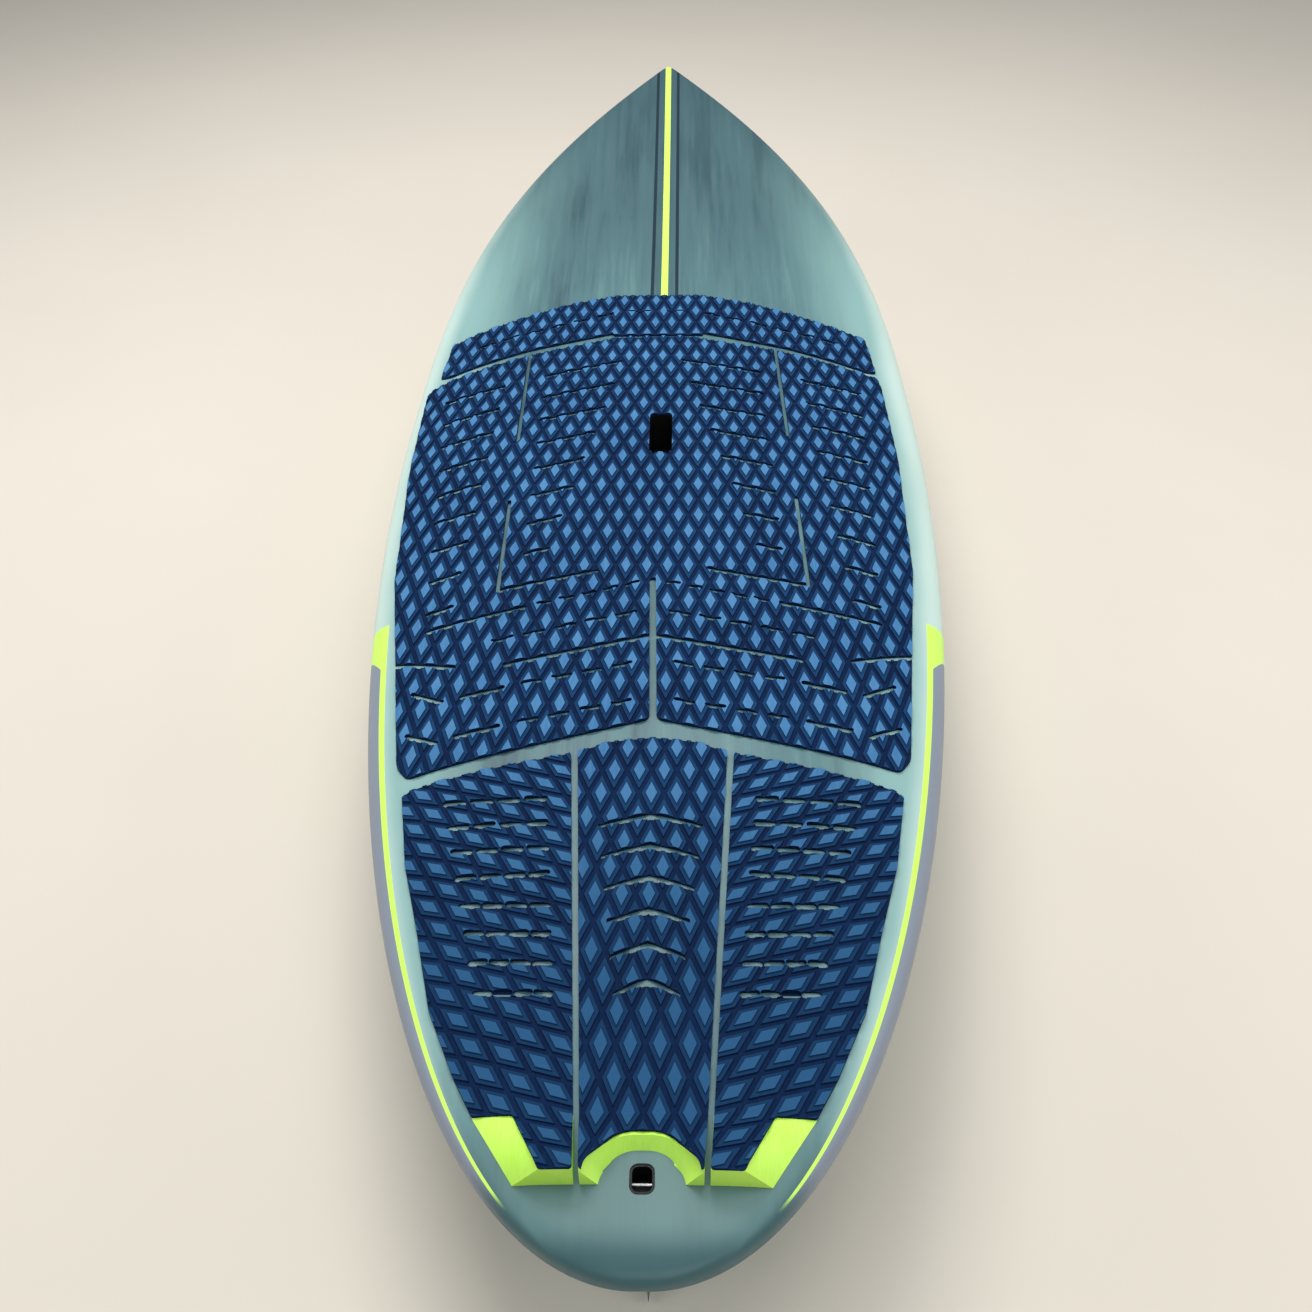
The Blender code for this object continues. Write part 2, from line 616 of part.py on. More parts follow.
def side_fin_set(side, word):
    """Short box with one set screw; the fin's full-length tab drops into the slot."""
    size = BOX_SIDE
    frame = hull_frame(side * size["x"], size["y"], size["length"] / 2, side * TOE_IN)
    box = block("fin_box_" + word, (size["width"], size["length"], size["depth"]),
                (0, 0, size["depth"] / 2), "fin_box_plastic", frame)
    boolean(box, block("slot", (0.0068, size["length"] - 0.006, 0.034), (0, 0, -0.001), matrix=frame))
    boolean(box, rod("screw_way", 0.0022, 0.030, (0, 0.0495, 0.010), "Z", 12, matrix=frame))
    fin("fin_" + word, frame, 0.105, 0.115, 0.060, 0.0062, (0.0062, 0.090, 0.0150, -0.006))
    rod("fin_screw_" + word, 0.0018, 0.0090, (0, 0.0495, 0.0080), "Z", 12, "stainless", frame)
    return frame


def box_clearance(name, size, frame):
    deep = size["depth"] + GAP
    return block(name, (size["width"] + 2 * GAP, size["length"] + 2 * GAP, 2 * deep),
                 (0, 0, 0), matrix=frame)


# ---------------------------------------------------------------- assembly
def build():
    deck = skin("deck_skin", deck_z, DECK_COLUMNS, "deck_paint")
    bottom = skin("bottom_skin", hull_side_z, BOTTOM_COLUMNS, "hull_paint")
    right = core_half("core_right", 1)
    left = core_half("core_left", -1)
    stringers()
    fill = infills()

    handle_clear, floor = handle()
    vent(floor)
    plug_clear = leash_plug()
    plug_low = deck_z(PLUG_Y, 0) - PLUG_DEPTH - 0.004
    handle_low = floor - HANDLE_WALL - GAP
    for obj in (deck, fill["handle_bed"]):
        boolean(obj, prism("handle_space", handle_clear, handle_low, 0.3))
    for obj in (deck, fill["plug_bed"]):
        boolean(obj, prism("plug_space", plug_clear, plug_low, 0.3))
    boolean(fill["handle_bed"], rod("vent_space", 0.0083, 0.046, (0, VENT_Y, floor)))

    frame = centre_fin_set()
    for obj in (bottom, fill["infill_mid"]):
        boolean(obj, box_clearance("box_space", BOX_CENTRE, frame))
    for side, word, core in ((1, "right", right), (-1, "left", left)):
        frame = side_fin_set(side, word)
        for obj in (bottom, core):
            boolean(obj, box_clearance("box_space", BOX_SIDE, frame))

    front_pad()
    main_pad()
    tail_pad_centre()
    kick_centre()
    for side, word in ((1, "right"), (-1, "left")):
        tail_pad_side("tail_pad_" + word, side)
        kick_side("kick_" + word, side)


clear_scene()
BOARD = make_collection("sup_surf_board")
CUTTERS = make_collection("cutters")
MATERIALS = make_materials()
build()
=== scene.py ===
"""Looks of the stand-up paddle surf board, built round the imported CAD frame.

Metres, +Z up through the deck, +Y to the nose, +X to the rider's right. The hull form below is the
same one that the frame's solids are made from, at a finer pitch.
"""

import math

import bmesh
import bpy
import numpy as np
from mathutils import Matrix, Vector


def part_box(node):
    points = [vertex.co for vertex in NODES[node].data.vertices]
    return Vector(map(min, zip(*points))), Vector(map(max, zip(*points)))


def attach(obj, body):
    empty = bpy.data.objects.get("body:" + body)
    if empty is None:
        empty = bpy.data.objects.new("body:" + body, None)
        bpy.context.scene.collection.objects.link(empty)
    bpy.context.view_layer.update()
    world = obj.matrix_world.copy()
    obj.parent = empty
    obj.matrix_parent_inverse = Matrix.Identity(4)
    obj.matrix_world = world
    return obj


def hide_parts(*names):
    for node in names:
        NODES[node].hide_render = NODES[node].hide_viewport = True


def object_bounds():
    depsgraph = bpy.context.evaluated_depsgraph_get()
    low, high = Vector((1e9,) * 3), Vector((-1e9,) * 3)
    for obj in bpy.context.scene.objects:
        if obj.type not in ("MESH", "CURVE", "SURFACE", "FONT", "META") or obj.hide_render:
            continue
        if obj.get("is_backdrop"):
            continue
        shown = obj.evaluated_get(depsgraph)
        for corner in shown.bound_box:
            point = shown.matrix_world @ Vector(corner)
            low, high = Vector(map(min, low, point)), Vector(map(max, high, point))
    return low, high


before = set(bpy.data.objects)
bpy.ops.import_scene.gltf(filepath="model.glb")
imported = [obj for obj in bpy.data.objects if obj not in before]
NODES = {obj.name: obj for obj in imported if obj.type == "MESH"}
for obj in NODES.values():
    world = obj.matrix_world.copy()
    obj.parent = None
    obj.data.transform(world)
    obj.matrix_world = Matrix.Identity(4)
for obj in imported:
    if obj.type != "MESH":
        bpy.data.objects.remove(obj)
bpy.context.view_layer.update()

# ---------------------------------------------------------------- hull form
HALF = (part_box("deck_skin")[1].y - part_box("deck_skin")[0].y) / 2
HALF_WIDTH = (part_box("deck_skin")[1].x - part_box("deck_skin")[0].x) / 2
WIDEST_Y = 0.05
THICKNESS = 0.115
NOSE_RISE = 0.220
TAIL_RISE = 0.050
ROCKER_FRONT_Y = 0.05
ROCKER_BACK_Y = -0.15
APEX_SHARE = 0.40
DECK_POWER = 3.5
FLAT_SHARE = 0.55
BOTTOM_POWER = 2.5
TAIL_ROUND = 0.050
NOSE_ROUND = 0.030
SHELL = 0.0020
STATIONS = 240               # cross-sections along the board, closer together at both ends
HOLE_GAP = 0.0002            # clearance all round a fitting let into a skin or pad
HANDLE_CORNER = 0.0122
PLUG_CORNER = 0.0072
SIDE_BOX_TOE = math.radians(3.0)

# ---------------------------------------------------------------- deck pads
GROOVE_TOP = 0.0020          # heights above the deck of the pad's three levels
STEP_TOP = 0.0036
PLATEAU_TOP = 0.0050
PAD_UNDER = 0.0002
KICK_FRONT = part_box("kick_centre")[1].y + 0.003
KICK_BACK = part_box("kick_centre")[0].y
KICK_CREST = KICK_BACK + 0.007
KICK_HEIGHT = 0.025
KICK_GAP = 0.0003            # the lime wedges start this far behind the ramp's crease
CELL = (0.0261, 0.0710)      # diamond pitch across and along the board
SLIT = 0.0066
HANDLE_WALL = 0.0025
MAIN_TURN = math.radians(1.1)
MAIN_PIVOT = -0.65
FRONT_SHIFT = -0.0085


def rocker(y):
    front = np.clip(y - ROCKER_FRONT_Y, 0, None) / (HALF - ROCKER_FRONT_Y)
    back = np.clip(ROCKER_BACK_Y - y, 0, None) / (HALF + ROCKER_BACK_Y)
    return NOSE_RISE * front ** 2.3 + TAIL_RISE * back ** 2


def thickness(y):
    front = 1 - 0.87 * (np.clip(y, 0, HALF) / HALF) ** 2.6
    back = 1 - 0.70 * (np.clip(-y, 0, HALF) / HALF) ** 2.4
    return THICKNESS * np.where(y > 0, front, back)


def half_width(y):
    front = np.clip((y - WIDEST_Y) / (HALF - WIDEST_Y), 0, 1)
    back = np.clip((WIDEST_Y - y) / (HALF + WIDEST_Y), 0, 1)
    return HALF_WIDTH * np.where(y > WIDEST_Y, 1 - front ** 2.88, (1 - back ** 2) ** 0.48)


def edge_round(y):
    tail = np.clip((TAIL_ROUND - HALF - y) / TAIL_ROUND, 0, 1)
    nose = np.clip((y - HALF + NOSE_ROUND) / NOSE_ROUND, 0, 1)
    return (1 - tail ** 2.5) ** 0.4 * (1 - nose ** 2.5) ** 0.4


def apex(y):
    return rocker(y) + APEX_SHARE * thickness(y)


def deck_z(y, xi, inset=0.0):
    rise = ((1 - APEX_SHARE) * thickness(y) - inset) * edge_round(y)
    return apex(y) + rise * np.clip(1 - np.abs(xi) ** DECK_POWER, 0, 1) ** (1 / DECK_POWER)


def bottom_z(y, xi, inset=0.0):
    drop = (APEX_SHARE * thickness(y) - inset) * edge_round(y)
    s = np.clip(np.abs(xi) - FLAT_SHARE, 0, 1) / (1 - FLAT_SHARE)
    return apex(y) - drop * np.clip(1 - s ** BOTTOM_POWER, 0, 1) ** (1 / BOTTOM_POWER)


def deck_at(x, y):
    """Height of the deck over a plan point."""
    return deck_z(y, np.abs(x) / np.maximum(half_width(y), 1e-6))


def kick_rise(y):
    return KICK_HEIGHT * np.clip((KICK_FRONT - y) / (KICK_FRONT - KICK_CREST), 0, 1)


# ---------------------------------------------------------------- material helpers
def new_material(name, rough=0.5, metallic=0.0, coat=0.0, coat_rough=0.1, sheen=0.0, specular=0.5):
    mat = bpy.data.materials.new(name)
    mat.use_nodes = True
    shader = mat.node_tree.nodes["Principled BSDF"]
    shader.inputs["Roughness"].default_value = rough
    shader.inputs["Metallic"].default_value = metallic
    shader.inputs["Coat Weight"].default_value = coat
    shader.inputs["Coat Roughness"].default_value = coat_rough
    shader.inputs["Sheen Weight"].default_value = sheen
    shader.inputs["Specular IOR Level"].default_value = specular
    return mat, shader


MIX_FACTOR, MIX_A, MIX_B = 0, 6, 7
MIX_RESULT = 2


class Graph:
    """Short calls for the node trees below."""

    def __init__(self, mat):
        self.tree = mat.node_tree
        self.coords = self.tree.nodes.new("ShaderNodeTexCoord").outputs["Object"]

    def node(self, kind, **settings):
        made = self.tree.nodes.new(kind)
        for key, value in settings.items():
            setattr(made, key, value)
        return made

    def put(self, socket, value):
        if isinstance(value, bpy.types.NodeSocket):
            self.tree.links.new(value, socket)
        else:
            socket.default_value = value

    def math(self, operation, a, b=0.0):
        made = self.node("ShaderNodeMath", operation=operation)
        self.put(made.inputs[0], a)
        self.put(made.inputs[1], b)
        return made.outputs[0]

    def scaled(self, scale):
        made = self.node("ShaderNodeVectorMath", operation="MULTIPLY")
        self.put(made.inputs[0], self.coords)
        made.inputs[1].default_value = scale
        return made.outputs[0]

    def axis(self, name):
        made = self.node("ShaderNodeSeparateXYZ")
        self.put(made.inputs[0], self.coords)
        return made.outputs[name]

    def noise(self, scale, detail=3.0, stretch=(1, 1, 1), rough=0.55):
        made = self.node("ShaderNodeTexNoise")
        self.put(made.inputs["Vector"], self.scaled(stretch))
        made.inputs["Scale"].default_value = scale
        made.inputs["Detail"].default_value = detail
        made.inputs["Roughness"].default_value = rough
        return made.outputs["Fac"]

    def ramp(self, value, low, high, to_low=0.0, to_high=1.0):
        made = self.node("ShaderNodeMapRange", clamp=True, interpolation_type="SMOOTHSTEP")
        self.put(made.inputs["Value"], value)
        made.inputs["From Min"].default_value = low
        made.inputs["From Max"].default_value = high
        made.inputs["To Min"].default_value = to_low
        made.inputs["To Max"].default_value = to_high
        return made.outputs["Result"]

    def band(self, value, centre, half, soft):
        """1 within half of the centre, falling to 0 over soft."""
        off = self.math("ABSOLUTE", self.math("SUBTRACT", value, centre))
        return self.ramp(off, half + soft, half)

    def mix(self, factor, a, b):
        """The node has one set of sockets for each data type, so the colour ones are picked by place."""
        made = self.node("ShaderNodeMix", data_type="RGBA")
        self.put(made.inputs[MIX_FACTOR], factor)
        self.put(made.inputs[MIX_A], a)
        self.put(made.inputs[MIX_B], b)
        return made.outputs[MIX_RESULT]

    def attribute(self, name):
        return self.node("ShaderNodeAttribute", attribute_name=name).outputs["Fac"]

    def bump(self, shader, height, strength, distance):
        made = self.node("ShaderNodeBump")
        made.inputs["Strength"].default_value = strength
        made.inputs["Distance"].default_value = distance
        self.put(made.inputs["Height"], height)
        self.put(shader.inputs["Normal"], made.outputs["Normal"])


def srgb(r, g, b):
    def linear(c):
        c /= 255
        return c / 12.92 if c <= 0.04045 else ((c + 0.055) / 1.055) ** 2.4
    return (linear(r), linear(g), linear(b), 1.0)


TEAL = srgb(82, 118, 122)
TEAL_DARK = srgb(52, 80, 88)
TEAL_PALE = srgb(118, 156, 156)
AQUA = srgb(138, 176, 172)
# Pale mint for the painted highlight along the rails.
MINT_RAIL_HIGHLIGHT = srgb(204, 226, 216)
NOSE_TEAL = srgb(54, 82, 88)
TAIL_TEAL = srgb(96, 128, 126)
RIM_TEAL = srgb(58, 92, 96)
LINE_TEAL = srgb(12, 40, 54)
LIME = srgb(206, 254, 104)
RAIL_GREY = srgb(134, 143, 156)
EVA_NAVY = srgb(20, 60, 100)
# Darker navy towards the tail, painted shade.
EVA_NAVY_AFT_SHADE = srgb(16, 50, 84)
# Navy darkened as painted shade, for the groove floors and the walls up to the step.
EVA_GROOVE_SHADE = srgb(6, 34, 70)
EVA_LIGHT = srgb(76, 126, 170)
# Darker light blue towards the tail, painted shade.
EVA_LIGHT_AFT_SHADE = srgb(34, 78, 116)


def brushed_base(g):
    """Teal lacquer with lengthwise brush marks and darker smudges."""
    smudge = g.noise(1.0, 4.0, (16, 1.6, 0.0))
    streak = g.noise(1.0, 5.0, (95, 4.0, 0.0), 0.65)
    cloud = g.noise(2.4, 3.0)
    value = g.math("ADD", g.math("MULTIPLY", smudge, 0.55), g.math("MULTIPLY", streak, 0.30))
    value = g.math("ADD", value, g.math("MULTIPLY", cloud, 0.25))
    dark = g.ramp(value, 0.40, 0.58)
    light = g.ramp(value, 0.57, 0.74)
    colour = g.mix(dark, TEAL_DARK, TEAL)
    colour = g.mix(g.math("MULTIPLY", light, 0.55), colour, TEAL_PALE)
    return colour, streak


def paint_material():
    """Board lacquer: brushed teal fading to aqua towards the rails, a painted highlight in pale mint along
    the rails, stripes, rail lines and clear coat.
    """
    mat, shader = new_material("board_lacquer", 0.5, coat=0.08, coat_rough=0.2, specular=0.25)
    g = Graph(mat)
    y = g.axis("Y")
    x = g.axis("X")
    rail = g.attribute("rail")
    colour, streak = brushed_base(g)
    colour = g.mix(g.math("MULTIPLY", g.ramp(y, 0.22, 0.75), 0.50), colour, NOSE_TEAL)
    colour = g.mix(g.math("MULTIPLY", g.ramp(y, 0.75, 1.18), 0.45), colour, TEAL_DARK)
    wander = g.math("MULTIPLY", g.math("SUBTRACT", g.noise(5.0, 3.0, (1, 0.4, 1)), 0.5), 0.12)
    spread = g.math("ADD", rail, wander)
    middle = g.math("MULTIPLY", g.ramp(y, 1.00, 0.30), g.ramp(y, -1.16, -0.98))
    colour = g.mix(g.math("MULTIPLY", g.ramp(spread, 0.52, 0.93), middle), colour, AQUA)
    # Painted highlight: pale mint along the rails, over the middle of the board.
    rail_highlight = g.math("MULTIPLY", g.ramp(spread, 0.88, 0.99), g.math("MULTIPLY", middle, 0.9))
    colour = g.mix(rail_highlight, colour, MINT_RAIL_HIGHLIGHT)
    tail = g.ramp(y, -1.08, -1.15)
    colour = g.mix(g.math("MULTIPLY", tail, 0.75), colour, TAIL_TEAL)
    rim = g.math("MULTIPLY", g.math("MAXIMUM", g.ramp(y, -1.175, -1.205), g.ramp(rail, 0.86, 0.97)), tail)
    colour = g.mix(g.math("MULTIPLY", rim, 0.85), colour, RIM_TEAL)
    front = g.math("MULTIPLY", g.ramp(y, 0.30, 0.302), g.ramp(rail, 1.002, 0.999))
    shade = g.math("MULTIPLY", g.band(x, 0.0, 0.0200, 0.0006), front)
    colour = g.mix(g.math("MULTIPLY", shade, 0.40), colour, TEAL_DARK)
    for centre in (-0.0205, 0.0205):
        line = g.math("MULTIPLY", g.band(x, centre, 0.0026, 0.0005), front)
        colour = g.mix(line, colour, LINE_TEAL)
    colour = g.mix(g.math("MULTIPLY", g.band(x, 0.0, 0.0055, 0.0004), front), colour, LIME)
    grey_zone = g.math("MULTIPLY", g.ramp(rail, 0.949, 0.951), g.ramp(rail, 1.140, 1.130))
    behind = g.math("SUBTRACT", y, g.math("MULTIPLY", g.math("SUBTRACT", rail, 0.95), 0.6))
    grey_zone = g.math("MULTIPLY", grey_zone, g.ramp(behind, -0.515, -0.517))
    grey_zone = g.math("MULTIPLY", grey_zone, g.ramp(y, -1.17, -1.12))
    colour = g.mix(grey_zone, colour, RAIL_GREY)
    block = g.math("MULTIPLY", g.ramp(rail, 0.929, 0.931), g.ramp(rail, 1.200, 1.190))
    block = g.math("MULTIPLY", block, g.ramp(y, -0.437, -0.439))
    block = g.math("MULTIPLY", block, g.ramp(behind, -0.517, -0.515))
    line = g.math("MULTIPLY", g.band(rail, 0.940, 0.010, 0.001), g.ramp(y, -0.50, -0.502))
    line = g.math("MULTIPLY", line, g.ramp(y, -1.165, -1.145))
    colour = g.mix(g.math("MAXIMUM", block, line), colour, LIME)
    g.put(shader.inputs["Base Color"], colour)
    g.put(shader.inputs["Roughness"], g.ramp(streak, 0.2, 0.8, 0.36, 0.52))
    g.bump(shader, g.noise(1.0, 4.0, (260, 9, 1)), 0.05, 0.0008)
    return mat


def eva_material(name, base, shade, lift, aft_shade=None):
    """Closed-cell foam: fine pores, faint lengthwise cut marks, and optionally a darker tone aft, which is
    painted shade towards the tail.
    """
    mat, shader = new_material(name, 0.9, specular=0.10)
    g = Graph(mat)
    pores = g.noise(900.0, 2.0)
    patch = g.noise(9.0, 4.0)
    cut = g.noise(1.0, 3.0, (420, 26, 90))
    colour = g.mix(g.ramp(patch, 0.35, 0.70), shade, base)
    colour = g.mix(g.math("MULTIPLY", g.ramp(cut, 0.42, 0.75), 0.35), colour, lift)
    colour = g.mix(g.math("MULTIPLY", g.ramp(pores, 0.42, 0.30), 0.25), colour, shade)
    if aft_shade:
        # Painted shade: the foam darkens towards the tail.
        colour = g.mix(g.math("MULTIPLY", g.ramp(g.axis("Y"), -0.56, -0.98), 0.92), colour, aft_shade)
    g.put(shader.inputs["Base Color"], colour)
    g.put(shader.inputs["Roughness"], g.ramp(pores, 0.3, 0.7, 0.72, 0.92))
    height = g.math("ADD", g.math("MULTIPLY", pores, 0.6), g.math("MULTIPLY", cut, 0.4))
    g.bump(shader, height, 0.35, 0.0004)
    return mat


def plastic_material(name, colour, rough):
    mat, shader = new_material(name, rough, specular=0.22)
    g = Graph(mat)
    fine = g.noise(700.0, 3.0)
    broad = g.noise(14.0, 3.0)
    tone = tuple(c * 1.7 + 0.004 for c in colour[:3]) + (1.0,)
    g.put(shader.inputs["Base Color"], g.mix(g.ramp(broad, 0.3, 0.8), colour, tone))
    g.put(shader.inputs["Roughness"], g.ramp(fine, 0.3, 0.7, rough * 0.8, min(rough * 1.2, 1.0)))
    g.bump(shader, fine, 0.25, 0.0003)
    return mat


def metal_material(name, colour, rough):
    mat, shader = new_material(name, rough, metallic=1.0)
    g = Graph(mat)
    brush = g.noise(1.0, 4.0, (60, 1400, 1400))
    worn = g.noise(120.0, 3.0)
    dull = tuple(c * 0.62 for c in colour[:3]) + (1.0,)
    g.put(shader.inputs["Base Color"], g.mix(g.ramp(worn, 0.35, 0.75), dull, colour))
    g.put(shader.inputs["Roughness"], g.ramp(brush, 0.3, 0.7, rough * 0.7, rough * 1.5))
    g.bump(shader, brush, 0.2, 0.0002)
    return mat


def foam_material():
    mat, shader = new_material("eps_beads", 0.9, specular=0.2)
    g = Graph(mat)
    cells = g.node("ShaderNodeTexVoronoi")
    g.put(cells.inputs["Vector"], g.coords)
    cells.inputs["Scale"].default_value = 320.0
    edge = g.ramp(cells.outputs["Distance"], 0.1, 0.6)
    g.put(shader.inputs["Base Color"], g.mix(edge, srgb(244, 244, 240), srgb(214, 216, 214)))
    g.bump(shader, edge, 0.4, 0.0008)
    return mat


def wood_material():
    mat, shader = new_material("stringer_grain", 0.62)
    g = Graph(mat)
    rings = g.noise(1.0, 5.0, (30, 3, 160))
    grain = g.mix(g.ramp(rings, 0.35, 0.68), srgb(146, 104, 62), srgb(206, 168, 118))
    g.put(shader.inputs["Base Color"], grain)
    g.bump(shader, rings, 0.25, 0.0005)
    return mat


def fin_material():
    """Glass laminate: woven cloth under resin, teal at the base fading to smoke at the tip."""
    mat, shader = new_material("fin_laminate", 0.26, coat=0.6, coat_rough=0.06)
    g = Graph(mat)
    weave = g.node("ShaderNodeTexChecker")
    g.put(weave.inputs["Vector"], g.scaled((0, 1, 1)))
    weave.inputs["Scale"].default_value = 520.0
    weave.inputs["Color1"].default_value = srgb(30, 92, 104)
    weave.inputs["Color2"].default_value = srgb(46, 116, 124)
    tip = g.ramp(g.axis("Z"), -0.02, -0.16)
    colour = g.mix(g.math("MULTIPLY", tip, 0.75), weave.outputs["Color"], srgb(22, 44, 54))
    g.put(shader.inputs["Base Color"], colour)
    g.put(shader.inputs["Roughness"], g.ramp(g.noise(40.0), 0.3, 0.7, 0.2, 0.34))
    g.bump(shader, weave.outputs["Fac"], 0.06, 0.0002)
    return mat


def floor_material():
    mat, shader = new_material("floor_pale", 0.75, specular=0.2)
    g = Graph(mat)
    g.put(shader.inputs["Base Color"], g.mix(g.noise(1.5, 4.0), srgb(214, 206, 192), srgb(221, 213, 200)))
    return mat


# ---------------------------------------------------------------- mesh helpers
def object_from(name, verts, faces, materials, smooth=True):
    mesh = bpy.data.meshes.new(name)
    mesh.from_pydata(verts, [], faces)
    mesh.validate()
    for mat in materials:
        mesh.materials.append(mat)
    if smooth:
        mesh.shade_smooth()
    obj = bpy.data.objects.new(name, mesh)
    bpy.context.scene.collection.objects.link(obj)
    return obj


def close_normals(obj):
    bm = bmesh.new()
    bm.from_mesh(obj.data)
    bmesh.ops.recalc_face_normals(bm, faces=bm.faces)
    bm.to_mesh(obj.data)
    bm.free()


def boolean(obj, cutter, operation="DIFFERENCE"):
    """Cut or keep by a closed cutter, which is used up."""
    mod = obj.modifiers.new("cut", "BOOLEAN")
    mod.operation = operation
    mod.object = cutter
    mod.solver = "MANIFOLD"
    bpy.context.view_layer.update()
    depsgraph = bpy.context.evaluated_depsgraph_get()
    mesh = bpy.data.meshes.new_from_object(obj.evaluated_get(depsgraph))
    obj.modifiers.clear()
    obj.data = mesh
    bpy.data.objects.remove(cutter, do_unlink=True)


def prisms(outlines, low, high):
    """One mesh of separate vertical prisms, used as a cutter."""
    verts = []
    faces = []
    for outline in outlines:
        area = sum(a[0] * b[1] - b[0] * a[1] for a, b in zip(outline, outline[1:] + outline[:1]))
        ring = outline if area > 0 else outline[::-1]
        n = len(ring)
        start = len(verts)
        verts += [(x, y, low) for x, y in ring] + [(x, y, high) for x, y in ring]
        faces.append([start + i for i in range(n)][::-1])
        faces.append([start + n + i for i in range(n)])
        for i in range(n):
            j = (i + 1) % n
            faces.append([start + i, start + j, start + n + j, start + n + i])
    return object_from("cutter", verts, faces, [], smooth=False)


def capsule(a, b, width, steps=4):
    """Outline of a slit with round ends."""
    a = Vector(a)
    b = Vector(b)
    along = (b - a).normalized()
    across = Vector((-along.y, along.x))
    points = []
    for centre, start in ((b, -90), (a, 90)):
        for k in range(steps + 1):
            t = math.radians(start + 180 * k / steps)
            p = centre + width / 2 * (math.cos(t) * along + math.sin(t) * across)
            points.append((p.x, p.y))
    return points


def rounded(points, radius, steps=4):
    """Outline with each corner rounded off."""
    result = []
    n = len(points)
    for i in range(n):
        p = Vector(points[i])
        before = Vector(points[i - 1]) - p
        after = Vector(points[(i + 1) % n]) - p
        r = min(radius, before.length * 0.45, after.length * 0.45)
        a = p + before.normalized() * r
        b = p + after.normalized() * r
        for k in range(steps + 1):
            t = k / steps
            q = a * (1 - t) ** 2 + p * 2 * t * (1 - t) + b * t * t
            result.append((q.x, q.y))
    return result


def rounded_rect(cx, cy, width, height, radius, steps=6):
    points = []
    for qx, qy, start in ((1, 1, 0), (-1, 1, 90), (-1, -1, 180), (1, -1, 270)):
        ox = cx + qx * (width / 2 - radius)
        oy = cy + qy * (height / 2 - radius)
        for k in range(steps + 1):
            a = math.radians(start + 90 * k / steps)
            points.append((ox + radius * math.cos(a), oy + radius * math.sin(a)))
    return points


def hole_round(node, wall, corner):
    """Outline of the hole for a fitting, or for what its wall leaves open."""
    low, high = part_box(node)
    centre = (low + high) / 2
    grow = 2 * (HOLE_GAP - wall)
    return rounded_rect(centre.x, centre.y, high.x - low.x + grow, high.y - low.y + grow, corner)


def finish_piece(obj, replaced):
    """Every piece made here rides on the board and stands in for one node."""
    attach(obj, "board")
    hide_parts(replaced)


# ---------------------------------------------------------------- hull shells
def section_steps(power, count):
    """Cross-section positions from the centre to the rail, evenly spread round the curve."""
    angles = np.linspace(0, math.pi / 2, count)
    return np.sin(angles) ** (2 / power)


def shell(name, height, xis, upper, mat):
    """Closed thin shell: outer surface, inner surface and the rim between them."""
    ys = -HALF * np.cos(np.linspace(0, math.pi, STATIONS))
    cols = np.concatenate([-xis[:0:-1], xis])
    verts = []
    rail = []
    faces = []
    rims = []
    for inset in (0.0, SHELL):
        kx = (HALF_WIDTH - inset) / HALF_WIDTH
        ky = (HALF - inset) / HALF
        rows = []
        for y in ys:
            w = float(half_width(y))
            if w < 1e-5:
                rows.append([len(verts)])
                verts.append((0.0, y * ky, float(apex(y))))
                rail.append(1.0)
                continue
            zs = height(np.full(len(cols), y), cols, inset)
            rows.append(list(range(len(verts), len(verts) + len(cols))))
            verts += [(c * w * kx, y * ky, z) for c, z in zip(cols, zs)]
            rail += [abs(c) if upper else 2 - abs(c) for c in cols]
        for low, high in zip(rows, rows[1:]):
            for j in range(len(cols) - 1):
                loop = [low[min(j, len(low) - 1)], low[min(j + 1, len(low) - 1)],
                        high[min(j + 1, len(high) - 1)], high[min(j, len(high) - 1)]]
                faces.append(list(dict.fromkeys(loop)))
        rims.append(rows[0] + [r[0] for r in rows[1:-1]] + rows[-1] + [r[-1] for r in rows[-2:0:-1]])
    outer, inner = rims
    n = len(outer)
    faces += [(outer[i], outer[(i + 1) % n], inner[(i + 1) % n], inner[i]) for i in range(n)]
    obj = object_from(name, verts, faces, [mat])
    layer = obj.data.attributes.new("rail", "FLOAT", "POINT")
    layer.data.foreach_set("value", np.array(rail, np.float32))
    close_normals(obj)
    obj.data.set_sharp_from_angle(angle=math.radians(50))
    return obj


def deck_shell(mat):
    xis = section_steps(DECK_POWER, 56)
    obj = shell("deck_shell", deck_z, xis, True, mat)
    openings = [hole_round("handle_cup", 0.0, HANDLE_CORNER), hole_round("leash_cup", 0.0, PLUG_CORNER)]
    boolean(obj, prisms(openings, 0.07, 0.2))
    return obj


def bottom_shell(mat):
    flat = np.linspace(0, FLAT_SHARE, 12)[:-1]
    xis = np.concatenate([flat, FLAT_SHARE + (1 - FLAT_SHARE) * section_steps(BOTTOM_POWER, 40)])
    obj = shell("bottom_shell", bottom_z, xis, False, mat)
    for node in ("fin_box_centre", "fin_box_left", "fin_box_right"):
        boolean(obj, box_cutter(node))
    return obj


